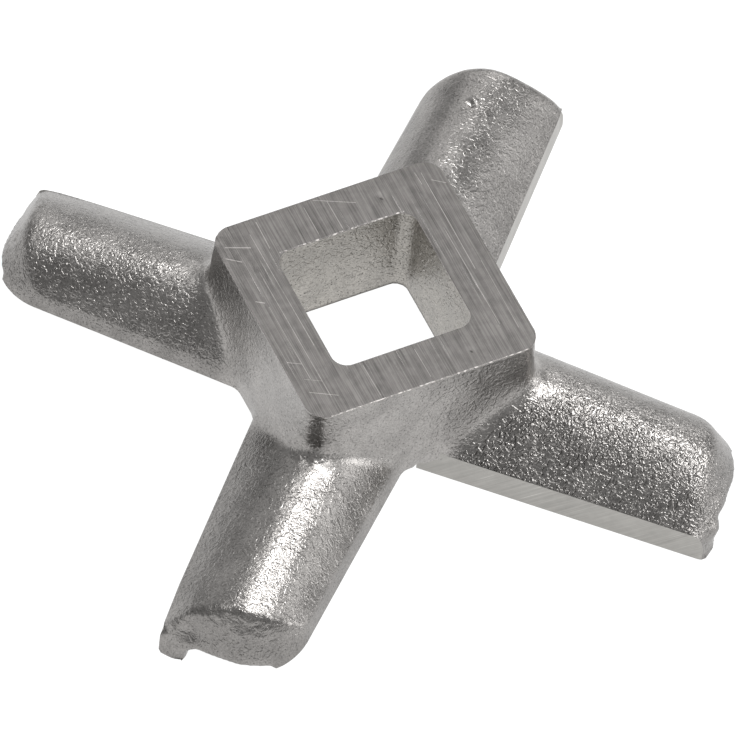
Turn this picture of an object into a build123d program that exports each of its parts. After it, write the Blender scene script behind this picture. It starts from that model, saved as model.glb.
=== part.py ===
from build123d import *
from math import cos, radians, sin, sqrt, tan
import os

# Meat grinder knife: one precision casting with four arms round a square drive hub.
#
# Millimetres, +Z up. The origin is on the drive axis, in the cutting plane that runs
# against the hole plate. The hub's sides lie along X and Y, and the arms leave its
# corners. Each arm is shaped along +X first: its leading side, with the cutting edge,
# is at -Y and its trailing side at +Y. Seen from +Z the knife turns clockwise.

# Knife
knife_diameter = 48.2
arm_count = 4
first_arm_angle = 45.0

# Drive hub, with its square hole for the feed screw's shank
hub_side = 15.3
hub_height = 9.5
hub_draft = 3.0
hub_corner_radius = 1.3
hub_root_radius = 1.2
drive_hole = 9.2
drive_hole_draft = 1.2
drive_corner_radius = 1.0

# Underside: the casting stands clear of the cutting plane, apart from the lands
underside_height = 1.7
land_width = 1.75
land_step_radius = 1.0
recess_diameter = 14.2
recess_height = 2.5

# Arm section, at the axis and at the tip circle
flank_axis = -4.96
flank_tip = -4.72
trailing_axis = 5.25
trailing_tip = 3.5
ridge_axis = 6.6
ridge_tip = 4.3
ridge_offset_axis = 0.75
ridge_offset_tip = 1.3
roof_lead_angle = 48.0
roof_trail_angle = 62.0
trailing_wall = 1.15

# Arm sides and tip
arm_start = 4.0
side_draft = 15.0
land_end_draft = 10.0
tip_draft = 26.0
tip_corner_radius = 3.8
rim_radius = 0.6

# Ground cutting flank, taken off the cast leading side
flank_height = 2.2
flank_allowance = 0.4
flank_tip_radius = 0.5

# How far a trimmed shape first runs past its trimming face, and the least distance
# that sets an edge apart from a face
overrun = 2.0
roof_overhang = 0.4
pick_margin = 0.1

tip_radius = knife_diameter / 2
bar_end = tip_radius + overrun


def along(axis_value, tip_value, x):
    """A size at distance x from the axis, when it changes evenly out to the tip."""
    return axis_value + (tip_value - axis_value) * x / tip_radius


def from_axis(shape):
    """How far a shape's centre lies from the drive axis."""
    centre = shape.center()
    return sqrt(centre.X**2 + centre.Y**2)


def across_arm(x):
    """The plane across the arm at distance x, with its own x across and its y up."""
    return Plane(origin=(x, 0, 0), x_dir=(0, 1, 0), z_dir=(1, 0, 0))


def roof_section(x):
    """The arm's convex back: a steep trailing side and a long slope to the edge."""
    lead = radians(roof_lead_angle)
    trail = radians(roof_trail_angle)
    reach = flank_allowance + roof_overhang
    wall_lean = trailing_wall * tan(radians(side_draft))
    foot_y = along(flank_axis, flank_tip, x) - reach
    heel_y = along(trailing_axis, trailing_tip, x) - wall_lean + roof_overhang
    foot = (foot_y, flank_height - reach * tan(lead))
    crown = (along(ridge_offset_axis, ridge_offset_tip, x), along(ridge_axis, ridge_tip, x))
    heel = (heel_y, underside_height + trailing_wall - roof_overhang * tan(trail))
    with BuildSketch(across_arm(x)) as section:
        with BuildLine():
            slopes = [(cos(lead), sin(lead)), (cos(trail), -sin(trail))]
            back = Spline(foot, crown, heel, tangents=slopes)
            Polyline(back @ 1, (heel_y, -overrun), (foot_y, -overrun), back @ 0)
        make_face()
    return section.sketch


def arm_outline(height):
    """The arm's plan at a height above the cutting plane, drawn in by its draft."""
    rise = height - underside_height
    side_inset = rise * tan(radians(side_draft))
    tip_inset = min(height, underside_height) * tan(radians(land_end_draft))
    tip_inset += max(rise, 0) * tan(radians(tip_draft))
    with BuildSketch(Plane.XY.offset(height)) as outline:
        with BuildLine():
            Polyline(
                (arm_start, along(flank_axis, flank_tip, arm_start) - flank_allowance),
                (bar_end, along(flank_axis, flank_tip, bar_end) - flank_allowance),
                (bar_end, along(trailing_axis, trailing_tip, bar_end) - side_inset),
                (arm_start, along(trailing_axis, trailing_tip, arm_start) - side_inset),
                close=True,
            )
        make_face()
        Circle(tip_radius - tip_inset, mode=Mode.INTERSECT)
        corners = outline.vertices().filter_by(lambda corner: from_axis(corner) > tip_radius / 2)
        fillet(corners.sort_by(Axis.Y)[-1], tip_corner_radius)
    return outline.sketch


# The arm's back, as a bar that runs past the tip
with BuildPart() as roof:
    loft([roof_section(arm_start), roof_section(bar_end)], ruled=True)

# The space under the arm behind its land, as a bar along the flank with a rounded corner
with BuildPart() as relief:
    across_flank = Plane(
        origin=(0, flank_axis, 0),
        x_dir=(flank_axis - flank_tip, tip_radius, 0),
        z_dir=(tip_radius, flank_tip - flank_axis, 0),
    )
    with BuildSketch(across_flank):
        with BuildLine():
            far_side = trailing_axis - flank_axis + overrun
            step_foot = (land_width, underside_height - land_step_radius)
            step_top = (land_width + land_step_radius, underside_height)
            Polyline(
                step_top,
                (far_side, underside_height),
                (far_side, -overrun),
                (land_width, -overrun),
                step_foot,
            )
            RadiusArc(step_foot, step_top, land_step_radius)
        make_face()
    extrude(amount=bar_end)

# One arm: its outline drawn up with draft to the back, relieved behind the land, then
# ground along the flank
with BuildPart() as arm:
    levels = (0, underside_height, ridge_axis)
    loft([arm_outline(level) for level in levels], ruled=True)
    add(roof.part, mode=Mode.INTERSECT)
    back_face = arm.faces().sort_by(Axis.Z)[-1]
    rim = back_face.edges().filter_by(lambda edge: (edge @ 0.5).X > arm_start + pick_margin)
    fillet(rim.filter_by(lambda edge: (edge @ 0.5).Y > flank_tip), rim_radius)
    add(relief.part, mode=Mode.SUBTRACT)
    with BuildSketch() as ground:
        with BuildLine():
            Polyline(
                (0, flank_axis),
                (bar_end, along(flank_axis, flank_tip, bar_end)),
                (bar_end, trailing_axis + overrun),
                (0, trailing_axis + overrun),
                close=True,
            )
        make_face()
        Circle(tip_radius, mode=Mode.INTERSECT)
        fillet(ground.vertices().sort_by(Axis.X)[-1], flank_tip_radius)
    extrude(amount=ridge_axis, mode=Mode.INTERSECT)

# The knife: hub and arms in one piece
with BuildPart() as knife:
    hub_rise = hub_height - underside_height
    hub_spread = hub_rise * tan(radians(hub_draft))
    hub_foot = hub_side + 2 * hub_spread
    with BuildSketch(Plane.XY.offset(underside_height)):
        RectangleRounded(hub_foot, hub_foot, hub_corner_radius + hub_spread)
    extrude(amount=hub_rise, taper=hub_draft)
    with PolarLocations(0, arm_count, start_angle=first_arm_angle):
        add(arm.part)
    # Cast fillets where the arms leave the hub
    above = knife.edges().filter_by_position(Axis.Z, underside_height + pick_margin, ridge_axis)
    fillet(above.filter_by(lambda edge: from_axis(edge) < hub_foot / sqrt(2)), hub_root_radius)
    # The drive hole, wider at the top, and the round relief below it
    with BuildSketch(Plane.XY.offset(hub_height)):
        RectangleRounded(drive_hole, drive_hole, drive_corner_radius)
    extrude(amount=-hub_height, taper=drive_hole_draft, mode=Mode.SUBTRACT)
    with BuildSketch():
        Circle(recess_diameter / 2)
    extrude(amount=recess_height, mode=Mode.SUBTRACT)

os.makedirs("parts", exist_ok=True)
knife.part.label = "cross_knife"
export_step(knife.part, "parts/cross_knife.step")
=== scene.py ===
"""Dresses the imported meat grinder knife: cast skin, ground faces, floor, light and camera."""
import logging
import math
from dataclasses import dataclass
from enum import Enum

import bmesh
import bpy
import numpy as np
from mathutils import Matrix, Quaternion, Vector, noise


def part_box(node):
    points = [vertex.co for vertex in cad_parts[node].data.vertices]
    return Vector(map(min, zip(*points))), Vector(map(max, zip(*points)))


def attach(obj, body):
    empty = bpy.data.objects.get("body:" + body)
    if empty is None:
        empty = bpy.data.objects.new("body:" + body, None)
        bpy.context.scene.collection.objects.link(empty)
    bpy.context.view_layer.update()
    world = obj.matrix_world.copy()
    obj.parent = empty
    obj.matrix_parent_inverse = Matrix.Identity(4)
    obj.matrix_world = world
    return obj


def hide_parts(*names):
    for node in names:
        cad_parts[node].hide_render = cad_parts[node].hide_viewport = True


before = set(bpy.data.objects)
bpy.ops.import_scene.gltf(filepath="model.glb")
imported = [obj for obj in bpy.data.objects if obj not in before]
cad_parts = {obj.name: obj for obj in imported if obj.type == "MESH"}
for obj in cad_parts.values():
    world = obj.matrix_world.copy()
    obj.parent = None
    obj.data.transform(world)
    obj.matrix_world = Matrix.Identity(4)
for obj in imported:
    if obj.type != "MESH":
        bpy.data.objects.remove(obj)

LOG = logging.getLogger("knife")
MM = 0.001


def fade(values: np.ndarray, start: float, width: float) -> np.ndarray:
    """Rises from 0 at a start to 1 one width further on; a negative width falls instead.

    Args:
        values: The values to follow.
        start: Where the result is still 0.
        width: How far on it reaches 1.

    Returns:
        One share a value, 0 to 1.
    """
    return np.clip((values - start) / width, 0, 1)


def read_rows(items: bpy.types.bpy_prop_collection, name: str) -> np.ndarray:
    """Reads a vector of every vertex or face.

    Args:
        items: The mesh's vertices or faces.
        name: The property to read.

    Returns:
        One row of three numbers an item.
    """
    values = np.empty(len(items) * 3)
    items.foreach_get(name, values)
    return values.reshape(-1, 3)


class Skin(Enum):
    """The finishes of the casting, in the order of its material slots."""

    CAST = 0
    GROUND_TOP = 1
    FLANK = 2
    LAND = 3
    HOLE = 4


class NodeSheet:
    """A small helper that lays nodes into one node tree."""

    def __init__(self, tree: bpy.types.NodeTree) -> None:
        """Takes the tree to lay nodes into.

        Args:
            tree: The material's or the group's tree.
        """
        self.tree = tree

    def add(self, kind: str, links: dict[str | int, object] | None = None,
            **settings: object) -> bpy.types.Node:
        """Adds a node.

        Args:
            kind: The node's type name, without its ShaderNode prefix where it has one.
            links: Input name or index to a socket or a plain value.
            **settings: Node properties.

        Returns:
            The new node.
        """
        node = self.tree.nodes.new(kind if kind.startswith("Node") else "ShaderNode" + kind)
        for name, value in settings.items():
            setattr(node, name, value)
        for name, value in (links or {}).items():
            if isinstance(value, bpy.types.NodeSocket):
                self.tree.links.new(value, node.inputs[name])
            else:
                node.inputs[name].default_value = value
        return node

    def math(self, operation: str, *values: object) -> bpy.types.NodeSocket:
        """Adds a Math node.

        Args:
            operation: What it does.
            *values: Sockets or plain numbers.

        Returns:
            Its result.
        """
        return self.add("Math", dict(enumerate(values)), operation=operation).outputs[0]

    def noise(self, place: bpy.types.NodeSocket, scale: float, detail: float,
              roughness: float = 0.5) -> bpy.types.NodeSocket:
        """Adds a noise.

        Args:
            place: Where it is read.
            scale: Its waves a unit.
            detail: How many finer octaves it has.
            roughness: How strong those are.

        Returns:
            Its value, 0 to 1.
        """
        links = {"Vector": place, "Scale": scale, "Detail": detail, "Roughness": roughness}
        return self.add("TexNoise", links).outputs[0]

    def ramp(self, value: bpy.types.NodeSocket, low: float, high: float,
             start: float = 0.0, end: float = 1.0) -> bpy.types.NodeSocket:
        """Maps a value from low..high onto start..end, clamped and smooth.

        Args:
            value: The value to map.
            low: Where the result is start.
            high: Where the result is end.
            start: The first result.
            end: The last result.

        Returns:
            The mapped value.
        """
        links = {"Value": value, "From Min": low, "From Max": high, "To Min": start, "To Max": end}
        return self.add("MapRange", links, interpolation_type="SMOOTHSTEP").outputs[0]

    def vector(self, operation: str, links: dict[str | int, object]) -> bpy.types.Node:
        """Adds a Vector Math node.

        Args:
            operation: What it does.
            links: Its inputs.

        Returns:
            The new node.
        """
        return self.add("VectorMath", links, operation=operation)


class ShaderGroup:
    """A shader node group that several materials share."""

    def __init__(self, name: str, inputs: dict[str, str], outputs: tuple[str, ...]) -> None:
        """Starts the group.

        Args:
            name: The group's name.
            inputs: Socket name to its type.
            outputs: Names of its number outputs.
        """
        self.tree = bpy.data.node_groups.new(name, "ShaderNodeTree")
        for title, kind in inputs.items():
            self.tree.interface.new_socket(title, in_out="INPUT", socket_type=kind)
        for title in outputs:
            self.tree.interface.new_socket(title, in_out="OUTPUT", socket_type="NodeSocketFloat")
        self.sheet = NodeSheet(self.tree)
        self.enter = self.sheet.add("NodeGroupInput")
        self.leave = self.sheet.add("NodeGroupOutput")

    def give(self, **results: bpy.types.NodeSocket) -> None:
        """Links results to the group's outputs.

        Args:
            **results: Output name to its socket.
        """
        for title, socket in results.items():
            self.tree.links.new(socket, self.leave.inputs[title])


class CastGrain(ShaderGroup):
    """The casting's fine grain: pebbles, flecks and stains, for every cast face."""

    # Noises: waves a millimetre, detail and roughness.
    GRAIN = (3.4, 0.8, 0.5)
    FINE = (9.0, 2.0, 0.6)
    STAIN = (0.45, 3.0, 0.6)
    PIT_SCALE = 5.5
    # Ramps: a low and a high value, and the results there.
    CREASES = (0.0, 0.12, 0.0, 0.28)
    FLECKS = (0.16, 0.34, 0.0, 1.0)
    SELDOM = (0.42, 0.6, 1.0, 0.0)
    CLOUD = (0.35, 0.65, 0.86, 1.08)
    MOTTLE = (0.3, 0.7, 0.8, 1.14)
    WEAR = (0.3, 0.7, 0.9, 1.1)
    # Heights of the grain and of the finest specks.
    GRAIN_GAIN = 1.2
    SPECK_GAIN = 0.06

    def __init__(self) -> None:
        """Builds the node group."""
        super().__init__(
            "cast_grain",
            {"Place": "NodeSocketVector", "Pebbles": "NodeSocketFloat",
             "Flecks": "NodeSocketFloat"},
            ("Height", "Tone", "Roughness"),
        )
        sheet = self.sheet
        place, pebbles, flecks = self.enter.outputs[:3]
        grain = sheet.noise(place, *self.GRAIN)
        fine = sheet.noise(place, *self.FINE)
        stain = sheet.noise(place, *self.STAIN)
        pits = sheet.add("TexVoronoi", {"Vector": place, "Scale": self.PIT_SCALE}).outputs[0]
        away = sheet.math("ABSOLUTE", sheet.math("SUBTRACT", grain, 0.5))
        crease = sheet.ramp(away, *self.CREASES)
        pebble = sheet.math("MULTIPLY_ADD", grain, self.GRAIN_GAIN, crease)
        pebble = sheet.math("MULTIPLY", pebble, pebbles)
        speck = sheet.math("MULTIPLY", fine, self.SPECK_GAIN)
        dark = sheet.math("SUBTRACT", 1.0, sheet.ramp(pits, *self.FLECKS))
        dark = sheet.math("MULTIPLY", dark, sheet.ramp(fine, *self.SELDOM))
        dark = sheet.math("MULTIPLY", dark, flecks)
        cloud = sheet.ramp(stain, *self.CLOUD)
        mottle = sheet.ramp(fine, *self.MOTTLE)
        tone = sheet.math("MULTIPLY", cloud, mottle)
        tone = sheet.math("MULTIPLY", tone, sheet.math("SUBTRACT", 1.0, dark))
        self.give(Height=sheet.math("ADD", pebble, speck), Tone=tone,
                  Roughness=sheet.ramp(stain, *self.WEAR))


class GrindingMarks(ShaderGroup):
    """Straight grinding marks along the place's Y, for every ground face."""

    # Marks: length in millimetres, closeness, and the shift that sets each kind apart.
    FINE = (4.0, 1.0, 0.0)
    BROAD = (9.0, 0.3, 4.0)
    CUTS = (6.5, 0.8, 9.0)
    LANE_DETAIL = 1.5
    # Noise: waves a millimetre, detail and roughness.
    GRIME = (1.3, 4.0, 0.65)
    # Ramps: a low and a high value, and the results there.
    DARK = (0.63, 0.72, 0.0, 1.0)
    BRIGHT = (0.34, 0.27, 0.0, 1.0)
    FINE_TONE = (0.3, 0.7, 0.84, 1.14)
    BROAD_TONE = (0.35, 0.65, -0.07, 0.07)
    GRIME_TONE = (0.35, 0.65, -0.09, 0.05)
    # What the dark cuts and the bright ones change.
    CUT_DEPTH = 0.6
    DARK_TONE = -0.22
    BRIGHT_TONE = 0.75
    BRIGHT_POLISH = -0.3

    def __init__(self) -> None:
        """Builds the node group."""
        super().__init__(
            "grinding_marks",
            {"Place": "NodeSocketVector", "Spacing": "NodeSocketFloat"},
            ("Height", "Tone", "Roughness"),
        )
        sheet = self.sheet
        place, spacing = self.enter.outputs[:2]
        split = sheet.add("SeparateXYZ", {0: place})
        across = sheet.math("MULTIPLY", split.outputs[0], sheet.math("DIVIDE", 1.0, spacing))
        fine, broad, cuts = (self._lane(across, split.outputs[1], *lane)
                             for lane in (self.FINE, self.BROAD, self.CUTS))
        grime = sheet.noise(place, *self.GRIME)
        dark = sheet.ramp(cuts, *self.DARK)
        bright = sheet.ramp(cuts, *self.BRIGHT)
        height = sheet.math("SUBTRACT", fine, sheet.math("MULTIPLY", dark, self.CUT_DEPTH))
        tone = sheet.math("ADD", sheet.ramp(fine, *self.FINE_TONE),
                          sheet.ramp(broad, *self.BROAD_TONE))
        tone = sheet.math("ADD", tone, sheet.ramp(grime, *self.GRIME_TONE))
        tone = sheet.math("MULTIPLY_ADD", dark, self.DARK_TONE, tone)
        tone = sheet.math("MULTIPLY_ADD", bright, self.BRIGHT_TONE, tone)
        rough = sheet.math("MULTIPLY_ADD", bright, self.BRIGHT_POLISH, 1.0)
        self.give(Height=height, Tone=tone, Roughness=rough)

    def _lane(self, across: bpy.types.NodeSocket, along: bpy.types.NodeSocket, length: float,
              spread: float, shift: float) -> bpy.types.NodeSocket:
        """Adds noise stretched along the marks.

        Args:
            across: Place across the marks, in marks.
            along: Place along the marks, in millimetres.
            length: How long a mark is, in millimetres.
            spread: How close the marks lie.
            shift: Offset that sets this noise apart.

        Returns:
            The noise's value.
        """
        run = self.sheet.math("MULTIPLY", along, 1.0 / length)
        side = self.sheet.math("MULTIPLY", across, spread)
        place = self.sheet.add("CombineXYZ", {0: side, 1: run, 2: shift})
        return self.sheet.noise(place.outputs[0], 1.0, self.LANE_DETAIL)


@dataclass(frozen=True)
class ScratchOrPaintedLight:
    """A line on the hub's ground top, from one point to another, in millimetres; a few are painted
    highlight and painted shade instead of marks.

    Attributes:
        start: Its first end.
        end: Its last end.
        width: Half its width.
        strength: How bright it is; a dark one is negative.
        broken: How much of it is worn away, 0 to 1.
    """

    start: tuple[float, float]
    end: tuple[float, float]
    width: float = 0.035
    strength: float = 0.9
    broken: float = 0.4


class HubScratchesAndPaintedLight(ShaderGroup):
    """Scratch and light marks on the hub's ground top, with painted shade in two pits and a
    painted highlight along the burrs of two edges.
    """

    LINES = (
        # Short scratches across the grinding.
        ScratchOrPaintedLight((-0.65, 7.5), (1.67, 6.37)),
        ScratchOrPaintedLight((-7.1, 6.27), (-5.69, 5.68), 0.05, 1.1, 0.2),
        ScratchOrPaintedLight((-7.4, 5.48), (-6.62, 4.9), 0.05, 1.1, 0.2),
        ScratchOrPaintedLight((-7.24, -2.98), (-6.5, -3.39)),
        ScratchOrPaintedLight((-6.92, -5.5), (-5.42, -6.34)),
        ScratchOrPaintedLight((-6.8, -4.5), (-5.9, -5.0), 0.03, 0.6),
        ScratchOrPaintedLight((5.99, 7.04), (6.03, 6.1)),
        ScratchOrPaintedLight((6.73, 6.17), (7.44, 5.64)),
        ScratchOrPaintedLight((-4.56, 7.3), (-4.61, 5.2), 0.03, 1.0, 0.3),
        ScratchOrPaintedLight((-7.08, 1.87), (-6.64, 1.58), 0.04, 1.2, 0.2),
        # The burrs along the front edge and along the hole's back edge, painted as bright lines: a
        # painted highlight where the edges catch the light.
        ScratchOrPaintedLight((-6.4, -7.63), (6.9, -7.63), 0.085, 3.0, 0.8),
        ScratchOrPaintedLight((-4.2, 4.67), (4.1, 4.67), 0.08, 2.6, 0.9),
        # Light marks along the grinding.
        ScratchOrPaintedLight((-5.3, 6.6), (-5.2, -2.4), 0.03, 0.8, 0.4),
        ScratchOrPaintedLight((-5.95, 3.8), (-5.85, -6.3), 0.035, 0.7, 0.4),
        ScratchOrPaintedLight((-6.5, 1.2), (-6.45, -4.6), 0.03, 0.8, 0.3),
        ScratchOrPaintedLight((-1.4, 7.2), (-1.4, 5.1), 0.03, 0.8, 0.2),
        ScratchOrPaintedLight((0.1, 7.1), (0.12, 4.9), 0.03, 0.9, 0.2),
        ScratchOrPaintedLight((6.35, 6.9), (6.3, -0.9), 0.035, 0.9, 0.3),
        ScratchOrPaintedLight((5.85, 2.6), (5.9, -5.2), 0.03, 0.8, 0.4),
        ScratchOrPaintedLight((6.9, -0.5), (6.85, -5.9), 0.03, 0.7, 0.3),
        ScratchOrPaintedLight((-3.1, -4.9), (-3.05, -7.3), 0.03, 0.7, 0.2),
        ScratchOrPaintedLight((0.3, -5.0), (0.35, -7.2), 0.03, 0.8, 0.2),
        # The dark of the two pits: painted shade in their hollows.
        ScratchOrPaintedLight((3.27, 6.09), (3.3, 6.0), 0.11, -0.6, 0.0),
        ScratchOrPaintedLight((3.41, -6.41), (3.44, -6.5), 0.08, -0.6, 0.0),
    )
    # Noise that wears the lines: waves a millimetre, detail and roughness.
    WORN = (2.6, 3.0, 0.7)
    # Ends of its ramp: for a whole line, and what a wholly broken one adds.
    WORN_LOW = (0.3, 0.22)
    WORN_HIGH = (0.34, 0.3)
    # Share of a line's width that is at full strength.
    CORE = 0.4

    def __init__(self) -> None:
        """Builds the node group."""
        super().__init__("hub_scratches_and_painted_light", {"Place": "NodeSocketVector"}, ("Tone",))
        sheet = self.sheet
        level = {0: self.enter.outputs[0], 1: (1, 1, 0)}
        flat = sheet.vector("MULTIPLY", level).outputs[0]
        worn = sheet.noise(flat, *self.WORN)
        total = None
        for line in self.LINES:
            low = self.WORN_LOW[0] + self.WORN_LOW[1] * line.broken
            high = self.WORN_HIGH[0] + self.WORN_HIGH[1] * line.broken
            kept = sheet.math("MAXIMUM", sheet.ramp(worn, low, high), 1.0 - line.broken)
            part = sheet.math("MULTIPLY", self._near(flat, line), kept)
            part = sheet.math("MULTIPLY", part, line.strength)
            total = part if total is None else sheet.math("ADD", total, part)
        self.give(Tone=total)

    def _near(self, place: bpy.types.NodeSocket, line: ScratchOrPaintedLight) -> bpy.types.NodeSocket:
        """Masks the points near one line.

        Args:
            place: The point, on the hub's top plane.
            line: The line.

        Returns:
            1 on the line and 0 beside it.
        """
        sheet = self.sheet
        reach = Vector((*line.end, 0)) - Vector((*line.start, 0))
        away = sheet.vector("SUBTRACT", {0: place, 1: (*line.start, 0)}).outputs[0]
        unit = tuple(reach / reach.length_squared)
        along = sheet.vector("DOT_PRODUCT", {0: away, 1: unit}).outputs["Value"]
        part = sheet.add("Math", {0: along, 1: 1.0}, operation="MULTIPLY", use_clamp=True)
        foot = sheet.vector("SCALE", {0: tuple(reach), "Scale": part.outputs[0]}).outputs[0]
        gap = sheet.vector("DISTANCE", {0: away, 1: foot}).outputs["Value"]
        return sheet.ramp(gap, line.width, self.CORE * line.width)


@dataclass(frozen=True)
class SteelFinish:
    """One finish of the steel.

    Attributes:
        name: The material's name.
        tint: Base colour.
        roughness: Mean roughness.
        relief: Bump distance, in millimetres.
    """

    name: str
    tint: tuple[float, float, float]
    roughness: float
    relief: float

    def _material(self) -> tuple[bpy.types.Material, NodeSheet, bpy.types.Node]:
        """Starts the material with a metal shader.

        Returns:
            The material, its sheet and its shader.
        """
        material = bpy.data.materials.new(self.name)
        material.use_nodes = True
        steel = material.node_tree.nodes["Principled BSDF"]
        steel.inputs["Metallic"].default_value = 1.0
        return material, NodeSheet(material.node_tree), steel

    def _place(self, sheet: NodeSheet) -> bpy.types.NodeSocket:
        """Gives the surface's place.

        Args:
            sheet: The material's sheet.

        Returns:
            The place, in millimetres.
        """
        spot = sheet.add("TexCoord").outputs["Object"]
        return sheet.vector("SCALE", {0: spot, "Scale": 1 / MM}).outputs[0]

    def _dress(self, sheet: NodeSheet, steel: bpy.types.Node, group: bpy.types.Node,
               tone: bpy.types.NodeSocket) -> None:
        """Feeds a group's outputs and the tone to the metal shader.

        Args:
            sheet: The material's sheet.
            steel: The metal shader.
            group: The group's node, with its heights and roughness.
            tone: How light the tint is.
        """
        tinted = sheet.vector("SCALE", {0: self.tint, "Scale": tone})
        rough = sheet.math("MULTIPLY", group.outputs["Roughness"], self.roughness)
        bump = sheet.add("Bump", {"Height": group.outputs["Height"], "Strength": 1.0,
                                  "Distance": self.relief * MM})
        sheet.tree.links.new(tinted.outputs[0], steel.inputs["Base Color"])
        sheet.tree.links.new(rough, steel.inputs["Roughness"])
        sheet.tree.links.new(bump.outputs[0], steel.inputs["Normal"])


@dataclass(frozen=True)
class CastFinish(SteelFinish):
    """The finish of a cast face.

    Attributes:
        flecks: Strength of its dark flecks.
        pebbles: Strength of the pebbled bump, where the mesh doesn't say it.
        painted_shade_rim: Height of the hole's dark lower band of painted shade, in millimetres,
            where there is one.
    """

    # Painted light: the hub's walls are painted lighter, standing in for the bright floor they
    # reflect.
    WALL_PAINTED_LIGHT = 1.25
    # Painted shade along the hole's lower edge: how it fades out and how dark it is.
    RIM_SHADE_FADE = 0.3
    RIM_SHADE_TONE = 0.35

    flecks: float = 0.5
    pebbles: float | None = None
    painted_shade_rim: float | None = None

    def material(self, grain: CastGrain) -> bpy.types.Material:
        """Builds the finish.

        Args:
            grain: The group of the fine grain.

        Returns:
            The material.
        """
        material, sheet, steel = self._material()
        place = self._place(sheet)
        pebbles = self.pebbles
        if pebbles is None:
            pebbles = sheet.add("Attribute", attribute_name="pebble").outputs["Fac"]
        group = sheet.add("Group", node_tree=grain.tree)
        for title, value in (("Place", place), ("Pebbles", pebbles), ("Flecks", self.flecks)):
            if isinstance(value, bpy.types.NodeSocket):
                sheet.tree.links.new(value, group.inputs[title])
            else:
                group.inputs[title].default_value = value
        # Painted light: a lighter tone on the hub's walls, standing in for the floor's reflection.
        wall = sheet.add("Attribute", attribute_name="hub_wall_painted_light").outputs["Fac"]
        painted_wall_light = sheet.ramp(wall, 0.0, 1.0, 1.0, self.WALL_PAINTED_LIGHT)
        tone = sheet.math("MULTIPLY", group.outputs["Tone"], painted_wall_light)
        # Painted shade: the faces below that height are darkened where shade falls at the hole's
        # bottom edge.
        if self.painted_shade_rim is not None:
            height = sheet.add("SeparateXYZ", {0: place}).outputs[2]
            shade = sheet.ramp(height, self.painted_shade_rim, self.painted_shade_rim + self.RIM_SHADE_FADE, self.RIM_SHADE_TONE, 1.0)
            tone = sheet.math("MULTIPLY", tone, shade)
        self._dress(sheet, steel, group, tone)
        return material


@dataclass(frozen=True)
class GroundFinish(SteelFinish):
    """The finish of a ground face.

    Attributes:
        spacing: Distance between the grinding marks, in millimetres.
        contrast: Strength of the marks' tone.
        turn: Rotation, in degrees, that brings the marks onto the Y axis.
        arm_place: Whether the marks follow each arm.
    """

    spacing: float = 0.1
    contrast: float = 1.0
    turn: tuple[float, float, float] = (0.0, 0.0, 0.0)
    arm_place: bool = False

    def material(self, marks: GrindingMarks, scratches_and_painted_light: HubScratchesAndPaintedLight | None = None
                 ) -> bpy.types.Material:
        """Builds the finish.

        Args:
            marks: The group of grinding marks.
            scratches_and_painted_light: The group of the top's scratch marks with its painted
                highlight and painted shade, where the face has them.

        Returns:
            The material.
        """
        material, sheet, steel = self._material()
        if self.arm_place:
            place = sheet.add("Attribute", attribute_name="arm_place").outputs["Vector"]
        else:
            place = self._place(sheet)
        angles = tuple(math.radians(angle) for angle in self.turn)
        turned = sheet.add("Mapping", {"Vector": place, "Rotation": angles})
        group = sheet.add("Group", node_tree=marks.tree)
        sheet.tree.links.new(turned.outputs[0], group.inputs["Place"])
        group.inputs["Spacing"].default_value = self.spacing
        tone = sheet.math("MULTIPLY_ADD", group.outputs["Tone"], self.contrast,
                          1.0 - self.contrast)
        if scratches_and_painted_light:
            lines = sheet.add("Group", node_tree=scratches_and_painted_light.tree)
            sheet.tree.links.new(place, lines.inputs["Place"])
            tone = sheet.math("ADD", tone, lines.outputs["Tone"])
        self._dress(sheet, steel, group, tone)
        return material


STEEL = (0.266, 0.256, 0.247)
CAST = CastFinish("cast_steel_skin", STEEL, 0.3, 0.09)
# The hole's dark lower band is painted shade.
HOLE = CastFinish("cast_hole", (0.33, 0.316, 0.294), 0.4, 0.08,
                  flecks=0.8, pebbles=0.7, painted_shade_rim=2.5)
# The ground top's dark tint is partly its ground finish and partly painted shade, standing in for
# the dark part of the room that the top reflects.
GROUND_TOP = GroundFinish("ground_top", (0.118, 0.1125, 0.1085), 0.36, 0.005,
                          spacing=0.075, contrast=1.2)
FLANK = GroundFinish("ground_flank", (0.36, 0.351, 0.333), 0.42, 0.002,
                     contrast=0.45, turn=(90.0, 0.0, -45.0), arm_place=True)
LAND = GroundFinish("ground_land", STEEL, 0.35, 0.003)


@dataclass(frozen=True)
class Arm:
    """One arm, with what sets it apart from the others.

    Attributes:
        turn: Its bearing from +X towards +Y, in degrees.
        lead_pebbles: Strength of the pebbled skin on its cutting side.
        trail_pebbles: Strength of the pebbled skin on its trailing side.
        softness: How much its tip is evened out, 0 to 1.
        sag: How far the hollow under its tip hangs down, in millimetres.
    """

    turn: float
    lead_pebbles: float
    trail_pebbles: float
    softness: float
    sag: float = 0.0


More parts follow.
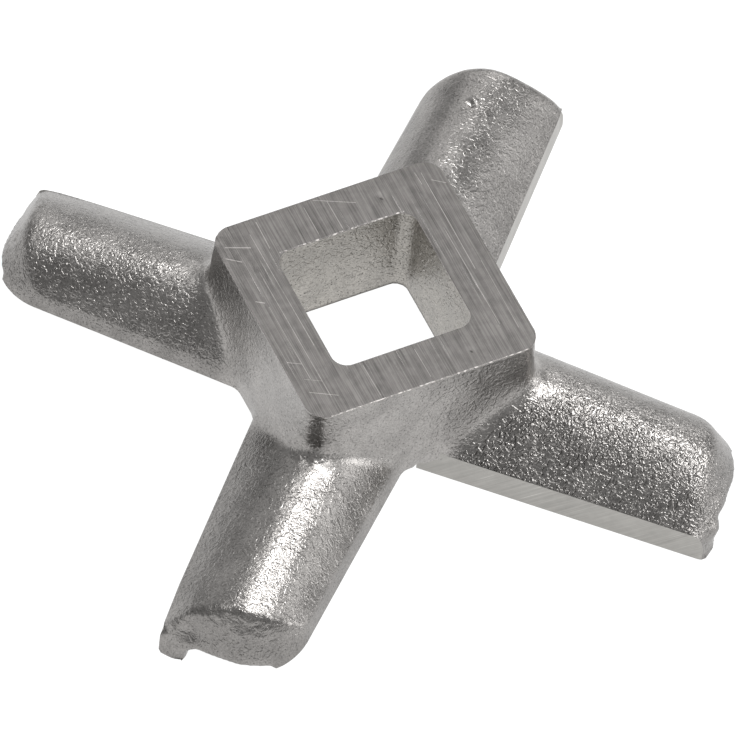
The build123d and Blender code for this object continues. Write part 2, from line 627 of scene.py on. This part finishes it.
@dataclass(frozen=True)
class KnifeForm:
    """The knife's own sizes, in millimetres, where the finishes change.

    Attributes:
        hub_half: Half the hub's width across its top.
        hub_top: Height of the hub.
        hub_lean: How far the hub's walls spread for each millimetre down.
        hole_half: Half the drive hole's width.
        underside: Height of the arms' underside over the lands.
        flank_axis: Offset of the cutting flank at the knife's axis.
        flank_tip: Offset of the cutting flank at the tip circle.
        flank_start: Where the cutting flank begins, from the axis.
        flank_reach: How near a face lies to the flank's plane when it is part of it.
        flank_facing: The most that a flank face turns away from the cutting side.
        tip_radius: Radius of the tip circle.
        arms: The four arms.
    """

    hub_half: float = 7.65
    hub_top: float = 9.5
    hub_lean: float = 0.0524
    hole_half: float = 4.6
    underside: float = 1.7
    flank_axis: float = -4.96
    flank_tip: float = -4.72
    flank_start: float = 5.0
    flank_reach: float = 0.08
    flank_facing: float = -0.9
    tip_radius: float = 24.1
    arms: tuple[Arm, ...] = (
        Arm(45.0, 0.35, 0.2, 0.3),
        Arm(135.0, 0.5, 0.8, 0.6),
        Arm(225.0, 0.4, 0.4, 0.16, 0.65),
        Arm(315.0, 1.5, 0.6, 0.8),
    )

    def hub_distance(self, points: np.ndarray) -> np.ndarray:
        """How far points lie outside the hub's leaning walls.

        Args:
            points: One row a point, in millimetres.

        Returns:
            One signed distance a point, negative inside.
        """
        wall = self.hub_half + (self.hub_top - points[:, 2]) * self.hub_lean
        return np.maximum(np.abs(points[:, 0]), np.abs(points[:, 1])) - wall

    def arm_place(self, points: np.ndarray) -> tuple[np.ndarray, np.ndarray, np.ndarray]:
        """Finds each point's own arm, and its place along and across that arm.

        Args:
            points: One row a point, in millimetres.

        Returns:
            The arm's index, the distance out along it and the distance across it.
        """
        turns = np.radians([arm.turn for arm in self.arms])
        along = points[:, :1] * np.cos(turns) + points[:, 1:2] * np.sin(turns)
        across = points[:, 1:2] * np.cos(turns) - points[:, :1] * np.sin(turns)
        nearest = along.argmax(axis=1)
        rows = np.arange(len(points))
        return nearest, along[rows, nearest], across[rows, nearest]

    def on_flank(self, points: np.ndarray, normals: np.ndarray) -> np.ndarray:
        """Tells which faces lie on a ground cutting flank.

        Args:
            points: Face centres in millimetres.
            normals: Face normals.

        Returns:
            One boolean a face.
        """
        arm, out, across = self.arm_place(points)
        turn = np.radians([arm.turn for arm in self.arms])[arm]
        facing = normals[:, 1] * np.cos(turn) - normals[:, 0] * np.sin(turn)
        line = self.flank_axis + (self.flank_tip - self.flank_axis) * out / self.tip_radius
        near = np.abs(across - line) < self.flank_reach
        return (facing < self.flank_facing) & near & (out > self.flank_start)


@dataclass(frozen=True)
class Mark:
    """A dent or a lump of the casting.

    Attributes:
        place: Its centre, in millimetres.
        radius: How far it reaches, in millimetres.
        depth: How deep it goes; a lump has a negative depth.
        ripple: Width of the unevenness inside it, or 0 for a plain bowl.
    """

    STEEPNESS = 2.5
    RIPPLE_REACH = 1.6
    RIPPLE_MEAN = 0.5

    place: tuple[float, float, float]
    radius: float
    depth: float
    ripple: float = 0.0

    def sink(self, points: np.ndarray) -> np.ndarray:
        """Gives how deep each point sinks.

        Args:
            points: One row a point, in millimetres.

        Returns:
            One depth a point, in millimetres.
        """
        away = np.linalg.norm(points - np.array(self.place), axis=1) / self.radius
        depth = self.depth * np.exp(-self.STEEPNESS * away**2)
        if self.ripple:
            for index in np.flatnonzero(away < self.RIPPLE_REACH):
                wave = noise.noise(Vector(points[index]) / self.ripple)
                depth[index] *= self.RIPPLE_MEAN + wave
        return depth


@dataclass(frozen=True)
class Evening:
    """Where the casting's cast forms are evened out, in millimetres.

    Attributes:
        rounds: How often the mesh is evened out.
        root_reach: How far from the hub's walls the roots end.
        root_fade: Width over which the roots fade out.
        wall_reach: How far inside the hub's walls the evening starts.
        wall_fade: Width over which it starts.
        top_clear: How far below the hub's top it ends, and its fade.
        low_clear: How far above the underside it starts.
        low_fade: Height over which it starts.
        tip_depth: How far inside the tip circle a tip's evening starts.
        tip_fade: Width over which it starts.
        land_depth: How far inside the tip circle a land end's evening starts.
        land_fade: Width over which it starts.
        land_share: The most that a land's end is evened out, 0 to 1.
        land_height: Height of a land's own edge, which stays.
    """

    rounds: int = 40
    root_reach: float = 2.2
    root_fade: float = 0.6
    wall_reach: float = 0.08
    wall_fade: float = 0.02
    top_clear: float = 0.6
    low_clear: float = 0.25
    low_fade: float = 0.5
    tip_depth: float = 3.6
    tip_fade: float = 1.0
    land_depth: float = 1.1
    land_fade: float = 0.5
    land_share: float = 0.2
    land_height: float = 0.05

    def share(self, form: KnifeForm, points: np.ndarray) -> np.ndarray:
        """Gives how much each point follows its neighbours.

        Args:
            form: The knife's sizes.
            points: One row a point, in millimetres.

        Returns:
            One share a point, 0 to 1.
        """
        from_hub = form.hub_distance(points)
        height = points[:, 2]
        arm, _, _ = form.arm_place(points)
        out = np.hypot(points[:, 0], points[:, 1])
        above = fade(height, form.underside + self.low_clear, self.low_fade)
        root = fade(from_hub, self.root_reach, -self.root_fade) * above
        root *= fade(from_hub, -self.wall_reach, self.wall_fade)
        root *= fade(height, form.hub_top - self.top_clear, -self.top_clear)
        softness = np.array([arm.softness for arm in form.arms])[arm]
        tip = fade(out, form.tip_radius - self.tip_depth, self.tip_fade) * softness * above
        land = fade(out, form.tip_radius - self.land_depth, self.land_fade)
        land = np.minimum(land, self.land_share) * (height > self.land_height)
        return np.maximum(np.maximum(root, tip), land)


@dataclass(frozen=True)
class Pebbling:
    """Size and reach of the casting's pebbled skin, in millimetres.

    Attributes:
        depth: Depth of the pebbles.
        size: Lattice width of the pebbles.
        swell_depth: Depth of the casting's slow unevenness.
        swell_size: Width of one swell.
        swell_shift: Where the swells' pattern starts.
        hub_start: How far from the hub's walls the pebbles start to grow.
        hub_fade: Width over which they grow.
        hub_least: Their strength on the hub's walls.
        low_fade: Height over which they grow from the underside up.
        low_least: Their strength below the arms.
        arm_start: How far from the hub's walls an arm's own strength holds.
        side_start: Offset at which the trailing side's strength starts to mix in.
        side_fade: Width over which it takes over.
        wall_reach: How far from the hub's walls their lighter tone ends.
        wall_fade: Width over which that tone ends.
        sag_depth: How far inside the tip circle a tip starts to sag.
        sag_fade: Width over which it does.
    """

    depth: float = 0.034
    size: float = 0.24
    swell_depth: float = 0.05
    swell_size: float = 2.6
    swell_shift: tuple[float, float, float] = (1.0, 9.0, 4.0)
    hub_start: float = 0.15
    hub_fade: float = 1.2
    hub_least: float = 0.4
    low_fade: float = 0.6
    low_least: float = 0.3
    arm_start: float = 0.3
    side_start: float = -0.6
    side_fade: float = 2.0
    # wall_reach: How far from the hub's walls their lighter tone ends; that tone is painted light,
    # standing in for the bright floor they reflect.
    wall_reach: float = 1.5
    wall_fade: float = 1.4
    sag_depth: float = 3.5
    sag_fade: float = 2.2

    def strength(self, form: KnifeForm, points: np.ndarray) -> np.ndarray:
        """Gives how strongly each point is pebbled.

        Args:
            form: The knife's sizes.
            points: One row a point, in millimetres.

        Returns:
            One strength a point.
        """
        from_hub = form.hub_distance(points)
        strength = np.maximum(fade(from_hub, self.hub_start, self.hub_fade), self.hub_least)
        strength *= np.maximum(fade(points[:, 2], form.underside, self.low_fade), self.low_least)
        arm, _, across = form.arm_place(points)
        lead = np.array([arm.lead_pebbles for arm in form.arms])[arm]
        trail = np.array([arm.trail_pebbles for arm in form.arms])[arm]
        own = lead + (trail - lead) * fade(across, self.side_start, self.side_fade)
        return strength * np.where(from_hub > self.arm_start, own, 1.0)

    def sag(self, form: KnifeForm, points: np.ndarray) -> np.ndarray:
        """Lowers the hollow under an arm's tip where the casting sags.

        Args:
            form: The knife's sizes.
            points: One row a point, in millimetres.

        Returns:
            The lowered points.
        """
        height = points[:, 2]
        arm, _, _ = form.arm_place(points)
        fall = np.minimum(height, 2 * form.underside - height)
        hollow = fade(fall, 0.0, form.underside)
        out = np.hypot(points[:, 0], points[:, 1])
        share = fade(out, form.tip_radius - self.sag_depth, self.sag_fade)
        sagged = points.copy()
        sagged[:, 2] -= np.array([arm.sag for arm in form.arms])[arm] * hollow * share
        return sagged

    def sink(self, points: np.ndarray, strength: np.ndarray) -> np.ndarray:
        """Gives how deep the pebbles and swells sink each point.

        Args:
            points: One row a point, in millimetres.
            strength: How strongly each point is pebbled.

        Returns:
            One depth a point, in millimetres.
        """
        shift = Vector(self.swell_shift)
        depth = np.empty(len(points))
        for index, point in enumerate(points):
            spot = Vector(point)
            pebble = 0.5 + 0.5 * noise.noise(spot / self.size)
            swell = 0.5 + 0.5 * noise.noise(spot / self.swell_size + shift)
            depth[index] = self.depth * pebble + self.swell_depth * swell
        return depth * strength

    def wall(self, form: KnifeForm, points: np.ndarray) -> np.ndarray:
        """Gives how much each point belongs to the hub's walls, which are painted lighter to stand
        in for the bright floor they reflect.

        Args:
            form: The knife's sizes.
            points: One row a point, in millimetres.

        Returns:
            One share a point, 0 to 1.
        """
        return fade(form.hub_distance(points), self.wall_reach, -self.wall_fade)


@dataclass(frozen=True)
class Casting:
    """The casting's visible mesh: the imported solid, remeshed fine and roughened.

    Attributes:
        form: The knife's sizes.
        evening: Where its roots and tips are evened out.
        pebbling: Its pebbled skin.
        marks: Its dents and lumps.
        cell: Remesh cell, in millimetres.
        arm_apart: How far apart the arms' stored places lie, so that their marks differ.
    """

    OCTREE_DEPTH = 8
    WELD = 1e-7
    # Millimetres beyond a wall or height; a rise is the upward part of a face's normal.
    REFINE_REACH = 0.12
    REFINE_HEIGHT = 0.1
    HOLE_REACH = 0.12
    HOLE_RISE = 0.7
    TOP_REACH = 0.06
    LAND_REACH = 0.05
    FLAT_RISE = 0.8
    SHARP_ANGLE = math.radians(38)

    form: KnifeForm = KnifeForm()
    evening: Evening = Evening()
    pebbling: Pebbling = Pebbling()
    marks: tuple[Mark, ...] = (
        # The arm at 45 degrees: a lump beside a pit, and its worn tip corner.
        Mark((13.5, 13.7, 5.0), 0.32, -0.26),
        Mark((13.2, 13.4, 5.0), 0.28, 0.2),
        Mark((19.75, 13.15, 1.6), 1.2, 0.25),
        # The hub: two pits in its top, one at its foot, and the ripple of two corners.
        Mark((3.27, 6.09, 9.5), 0.2, 0.12),
        Mark((3.41, -6.41, 9.5), 0.16, 0.1),
        Mark((-0.24, -8.05, 1.7), 0.3, 0.2),
        Mark((-7.8, -7.8, 7.0), 1.6, 0.09, 0.45),
        Mark((-7.4, 7.0, 9.2), 1.0, 0.12, 0.6),
        # The arm at 315 degrees: its fuller tip, its land's corner and a pit.
        Mark((14.5, -19.0, 1.5), 1.1, -0.38),
        Mark((14.75, -19.1, 0.0), 0.5, 0.24),
        Mark((15.6, -18.1, 2.5), 1.3, -0.25),
        Mark((15.6, -18.2, 1.7), 0.3, 0.1),
        # The arm at 135 degrees: its rounded tip and the ripple of its end.
        Mark((-13.1, 19.7, 1.4), 1.3, 0.22),
        Mark((-14.4, 18.6, 1.6), 4.0, 0.16),
        Mark((-16.6, 16.2, 3.0), 1.8, 0.08, 0.5),
        # The arm at 225 degrees: its worn tip and land, and the ripple of its end.
        Mark((-19.7, -13.1, 1.8), 0.5, 0.25),
        Mark((-19.1, -14.7, 0.0), 0.6, 0.16),
        Mark((-16.8, -15.2, 3.6), 2.4, 0.05, 0.4),
        Mark((-14.6, -16.4, 3.8), 2.2, 0.05, 0.36),
        Mark((-18.4, -14.4, 2.4), 1.6, 0.3),
    )
    cell: float = 0.263
    arm_apart: float = 40.0

    def build(self, node: bpy.types.Object) -> bpy.types.Object:
        """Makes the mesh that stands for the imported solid.

        Args:
            node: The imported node.

        Returns:
            The new object, with its faces sorted into the slots of Skin.
        """
        mesh = self._remeshed(node)
        self._refine(mesh)
        self._sort_faces(mesh)
        ground = self._ground(mesh)
        self._even_out(mesh, ground)
        self._roughen(mesh, ground)
        piece = bpy.data.objects.new("cast_knife", mesh)
        bpy.context.scene.collection.objects.link(piece)
        return piece

    def dress(self, piece: bpy.types.Object) -> None:
        """Gives the piece its finishes, one a slot, in the order of Skin.

        Args:
            piece: The casting's object.
        """
        grain, marks = CastGrain(), GrindingMarks()
        finishes = {
            Skin.CAST: CAST.material(grain),
            Skin.GROUND_TOP: GROUND_TOP.material(marks, HubScratchesAndPaintedLight()),
            Skin.FLANK: FLANK.material(marks),
            Skin.LAND: LAND.material(marks),
            Skin.HOLE: HOLE.material(grain),
        }
        for skin in Skin:
            piece.data.materials.append(finishes[skin])

    def _remeshed(self, node: bpy.types.Object) -> bpy.types.Mesh:
        """Gives the solid an even mesh that keeps its edges.

        Args:
            node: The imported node.

        Returns:
            The even mesh.
        """
        work = bmesh.new()
        work.from_mesh(node.data)
        bmesh.ops.remove_doubles(work, verts=work.verts, dist=self.WELD)
        plain = bpy.data.meshes.new("plain_knife")
        work.to_mesh(plain)
        work.free()
        holder = bpy.data.objects.new("remesh_holder", plain)
        bpy.context.scene.collection.objects.link(holder)
        remesh = holder.modifiers.new("even", "REMESH")
        remesh.mode = "SHARP"
        remesh.octree_depth = self.OCTREE_DEPTH
        remesh.scale = max(holder.dimensions) / (self.cell * MM * 2**self.OCTREE_DEPTH)
        remesh.use_remove_disconnected = False
        graph = bpy.context.evaluated_depsgraph_get()
        mesh = bpy.data.meshes.new_from_object(holder.evaluated_get(graph))
        bpy.data.objects.remove(holder)
        bpy.data.meshes.remove(plain)
        mesh.name = "cast_knife"
        return mesh

    def _refine(self, mesh: bpy.types.Mesh) -> None:
        """Halves the faces of the arms' backs, sides and ends.

        Args:
            mesh: The casting's mesh.
        """
        work = bmesh.new()
        work.from_mesh(mesh)
        form = self.form
        low = form.underside + self.REFINE_HEIGHT
        edges = []
        for edge in work.edges:
            middle = (edge.verts[0].co + edge.verts[1].co) / (2 * MM)
            wall = form.hub_half + (form.hub_top - middle.z) * form.hub_lean
            outside = max(abs(middle.x), abs(middle.y)) > wall + self.REFINE_REACH
            if outside and middle.z > low:
                edges.append(edge)
        bmesh.ops.subdivide_edges(work, edges=edges, cuts=1, use_grid_fill=True)
        bmesh.ops.triangulate(work, faces=[face for face in work.faces if len(face.verts) > 4])
        work.to_mesh(mesh)
        work.free()

    def _sort_faces(self, mesh: bpy.types.Mesh) -> None:
        """Puts each face into the slot of its finish and shades it smooth.

        Args:
            mesh: The casting's mesh.
        """
        form = self.form
        centres = read_rows(mesh.polygons, "center") / MM
        normals = read_rows(mesh.polygons, "normal")
        height, rise = centres[:, 2], normals[:, 2]
        radius = np.maximum(np.abs(centres[:, 0]), np.abs(centres[:, 1]))
        in_hole = (radius < form.hole_half + self.HOLE_REACH) & (np.abs(rise) < self.HOLE_RISE)
        slots = np.full(len(centres), Skin.CAST.value, np.int32)
        slots[in_hole] = Skin.HOLE.value
        on_top = (height > form.hub_top - self.TOP_REACH) & (rise > self.FLAT_RISE)
        slots[on_top] = Skin.GROUND_TOP.value
        slots[(height < self.LAND_REACH) & (rise < -self.FLAT_RISE)] = Skin.LAND.value
        slots[form.on_flank(centres, normals)] = Skin.FLANK.value
        mesh.polygons.foreach_set("material_index", slots)
        mesh.polygons.foreach_set("use_smooth", np.ones(len(centres), bool))
        mesh.set_sharp_from_angle(angle=self.SHARP_ANGLE)

    def _ground(self, mesh: bpy.types.Mesh) -> np.ndarray:
        """Tells which vertices lie on a ground face.

        Args:
            mesh: The casting's mesh, with its faces sorted.

        Returns:
            One boolean a vertex.
        """
        ground = np.zeros(len(mesh.vertices), bool)
        loops = np.empty(len(mesh.loops), np.int32)
        mesh.loops.foreach_get("vertex_index", loops)
        flat = (Skin.GROUND_TOP.value, Skin.FLANK.value, Skin.LAND.value)
        for polygon in mesh.polygons:
            if polygon.material_index in flat:
                start = polygon.loop_start
                ground[loops[start:start + polygon.loop_total]] = True
        return ground

    def _even_out(self, mesh: bpy.types.Mesh, ground: np.ndarray) -> None:
        """Evens out the cast roots round the hub and the arms' tips.

        Args:
            mesh: The casting's mesh.
            ground: Which vertices lie on a ground face, and stay.
        """
        points = read_rows(mesh.vertices, "co") / MM
        share = self.evening.share(self.form, points)
        share[ground] = 0.0
        ends = np.empty(len(mesh.edges) * 2, np.int32)
        mesh.edges.foreach_get("vertices", ends)
        first, second = ends.reshape(-1, 2).T
        count = len(points)
        degree = np.bincount(first, minlength=count) + np.bincount(second, minlength=count)
        for _ in range(self.evening.rounds):
            total = np.empty((count, 3))
            for axis in range(3):
                total[:, axis] = np.bincount(first, points[second, axis], count)
                total[:, axis] += np.bincount(second, points[first, axis], count)
            points += share[:, None] * (total / degree[:, None] - points)
        mesh.vertices.foreach_set("co", (points * MM).ravel())
        mesh.update()

    def _roughen(self, mesh: bpy.types.Mesh, ground: np.ndarray) -> None:
        """Sinks the cast faces by their pebbles, swells and marks, and stores what finishes read.

        Args:
            mesh: The casting's mesh.
            ground: Which vertices lie on a ground face, and stay flat.
        """
        even = read_rows(mesh.vertices, "co") / MM
        normals = read_rows(mesh.vertices, "normal")
        pebbled = self.pebbling.strength(self.form, even)
        pebbled[ground] = 0.0
        points = self.pebbling.sag(self.form, even)
        depth = self.pebbling.sink(points, pebbled)
        for mark in self.marks:
            depth += mark.sink(points)
        low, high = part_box("cross_knife")
        moved = np.clip(points - normals * depth[:, None], np.array(low) / MM, np.array(high) / MM)
        mesh.vertices.foreach_set("co", (moved * MM).ravel())
        mesh.update()
        # The hub walls' share of painted light, a lighter tone that stands in for the floor's
        # reflection.
        wall = self.pebbling.wall(self.form, even)
        arm, out, across = self.form.arm_place(even)
        place = np.stack([out, across + self.arm_apart * arm, even[:, 2]], axis=1)
        mesh.attributes.new("pebble", "FLOAT", "POINT").data.foreach_set("value", pebbled)
        mesh.attributes.new("hub_wall_painted_light", "FLOAT", "POINT").data.foreach_set("value", wall)
        stored = mesh.attributes.new("arm_place", "FLOAT_VECTOR", "POINT")
        stored.data.foreach_set("vector", place.ravel())


@dataclass(frozen=True)
class Lamp:
    """A soft square light of the room, facing the knife.

    Attributes:
        name: The light's name.
        azimuth: Its bearing from +X towards +Y, in degrees.
        elevation: Its height above the floor's plane, in degrees.
        size: Its side, in metres.
        power: Its power, in watts.
    """

    name: str
    azimuth: float
    elevation: float
    size: float
    power: float

    def place(self, distance: float) -> Vector:
        """Gives its centre.

        Args:
            distance: How far it stands from the knife, in metres.

        Returns:
            The centre, in metres.
        """
        azimuth, elevation = math.radians(self.azimuth), math.radians(self.elevation)
        flat = math.cos(elevation)
        bearing = Vector((flat * math.cos(azimuth), flat * math.sin(azimuth), math.sin(elevation)))
        return bearing * distance


@dataclass(frozen=True)
class Studio:
    """The floor, the soft lights and the camera.

    Attributes:
        eye: The camera's place, in metres.
        turn: The camera's rotation, as a quaternion.
        lens: Its focal length, in millimetres.
        sensor: Its sensor's width, in millimetres.
        clip: The nearest and farthest it sees, in metres.
        floor_half: Half the floor's side, in metres.
        floor_drop: How far the floor lies under the knife, in metres.
        floor_grey: The floor's own grey.
        floor_glow: How bright the floor is.
        room_grey: How bright the room is.
        lamp_distance: How far the lights stand from the knife, in metres.
        lamps: The lights.
    """

    eye: tuple[float, float, float] = (-0.219312, -0.373264, 0.592207)
    turn: tuple[float, float, float, float] = (0.92988923, 0.29483909, -0.09877125, -0.19652014)
    lens: float = 586.96
    sensor: float = 36.0
    clip: tuple[float, float] = (0.01, 20.0)
    floor_half: float = 3.0
    floor_drop: float = 0.00002
    floor_grey: float = 0.1
    floor_glow: float = 1.0
    room_grey: float = 0.38
    lamp_distance: float = 2.0
    lamps: tuple[Lamp, ...] = (
        Lamp("overhead", 36, 70, 0.44, 14.5),
        Lamp("overhead_right", -15, 57, 0.46, 12.3),
        Lamp("overhead_front", -72, 70, 0.44, 11.0),
        Lamp("front_right", -60, 42, 0.62, 5.9),
        Lamp("back", 75, 57, 0.46, 3.1),
        Lamp("back_left", 135, 57, 0.46, 2.7),
        Lamp("low_right", -36, 9, 0.62, 5.6),
        Lamp("low_far_right", 45, 25, 0.75, 4.9),
        Lamp("side_right", -15, 25, 0.75, 3.7),
        Lamp("low_back", 75, 25, 0.75, 2.3),
        Lamp("level_right", 0, 9, 0.62, 0.9),
        Lamp("low_back_left", 105, 25, 0.75, 1.0),
    )

    def floor(self) -> bpy.types.Object:
        """Makes the plain pale floor, which is clear from below.

        Returns:
            The floor's object.
        """
        half, low, grey = self.floor_half, -self.floor_drop, self.floor_grey
        mesh = bpy.data.meshes.new("floor")
        corners = [(-half, -half, low), (half, -half, low), (half, half, low), (-half, half, low)]
        mesh.from_pydata(corners, [], [(0, 1, 2, 3)])
        plane = bpy.data.objects.new("floor", mesh)
        bpy.context.scene.collection.objects.link(plane)
        material = bpy.data.materials.new("pale_floor")
        material.use_nodes = True
        sheet = NodeSheet(material.node_tree)
        paint = material.node_tree.nodes["Principled BSDF"]
        paint.inputs["Base Color"].default_value = (grey, grey, grey, 1)
        paint.inputs["Roughness"].default_value = 1.0
        paint.inputs["Emission Color"].default_value = (1, 1, 1, 1)
        paint.inputs["Emission Strength"].default_value = self.floor_glow
        side = sheet.add("NewGeometry").outputs["Backfacing"]
        clear = sheet.add("BsdfTransparent").outputs[0]
        mix = sheet.add("MixShader", {0: side, 1: paint.outputs[0], 2: clear})
        output = material.node_tree.nodes["Material Output"]
        sheet.tree.links.new(mix.outputs[0], output.inputs["Surface"])
        mesh.materials.append(material)
        return plane

    def light(self, lamp: Lamp) -> bpy.types.Object:
        """Makes one soft light.

        Args:
            lamp: Its size, power and bearing.

        Returns:
            The light's object.
        """
        data = bpy.data.lights.new(lamp.name, "AREA")
        data.shape = "SQUARE"
        data.size = lamp.size
        data.energy = lamp.power
        light = bpy.data.objects.new(lamp.name, data)
        light.location = lamp.place(self.lamp_distance)
        light.rotation_mode = "QUATERNION"
        light.rotation_quaternion = (-light.location).to_track_quat("-Z", "Y")
        bpy.context.scene.collection.objects.link(light)
        return light

    def world(self) -> bpy.types.World:
        """Sets the room's plain grey.

        Returns:
            The world.
        """
        room = bpy.data.worlds.new("room")
        room.use_nodes = True
        back = room.node_tree.nodes["Background"]
        back.inputs["Color"].default_value = (self.room_grey, self.room_grey, self.room_grey, 1)
        bpy.context.scene.world = room
        return room

    def camera(self) -> bpy.types.Object:
        """Makes the camera.

        Returns:
            The camera's object.
        """
        data = bpy.data.cameras.new("camera")
        data.lens = self.lens
        data.sensor_width = self.sensor
        data.clip_start, data.clip_end = self.clip
        eye = bpy.data.objects.new("camera", data)
        eye.location = self.eye
        eye.rotation_mode = "QUATERNION"
        eye.rotation_quaternion = Quaternion(self.turn)
        bpy.context.scene.collection.objects.link(eye)
        bpy.context.scene.camera = eye
        return eye

    def set_up(self) -> None:
        """Builds the floor, the lights, the room and the camera."""
        self.floor()
        for lamp in self.lamps:
            self.light(lamp)
        self.world()
        self.camera()
        bpy.context.scene.view_settings.view_transform = "Standard"


def main() -> None:
    """Builds and dresses the knife, and reports each piece."""
    logging.basicConfig(level=logging.INFO)
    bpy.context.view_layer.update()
    casting = Casting()
    knife = casting.build(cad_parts["cross_knife"])
    casting.dress(knife)
    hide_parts("cross_knife")
    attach(knife, "root")
    LOG.info("%s: %d faces", knife.name, len(knife.data.polygons))
    Studio().set_up()


if __name__ == "__main__":
    main()
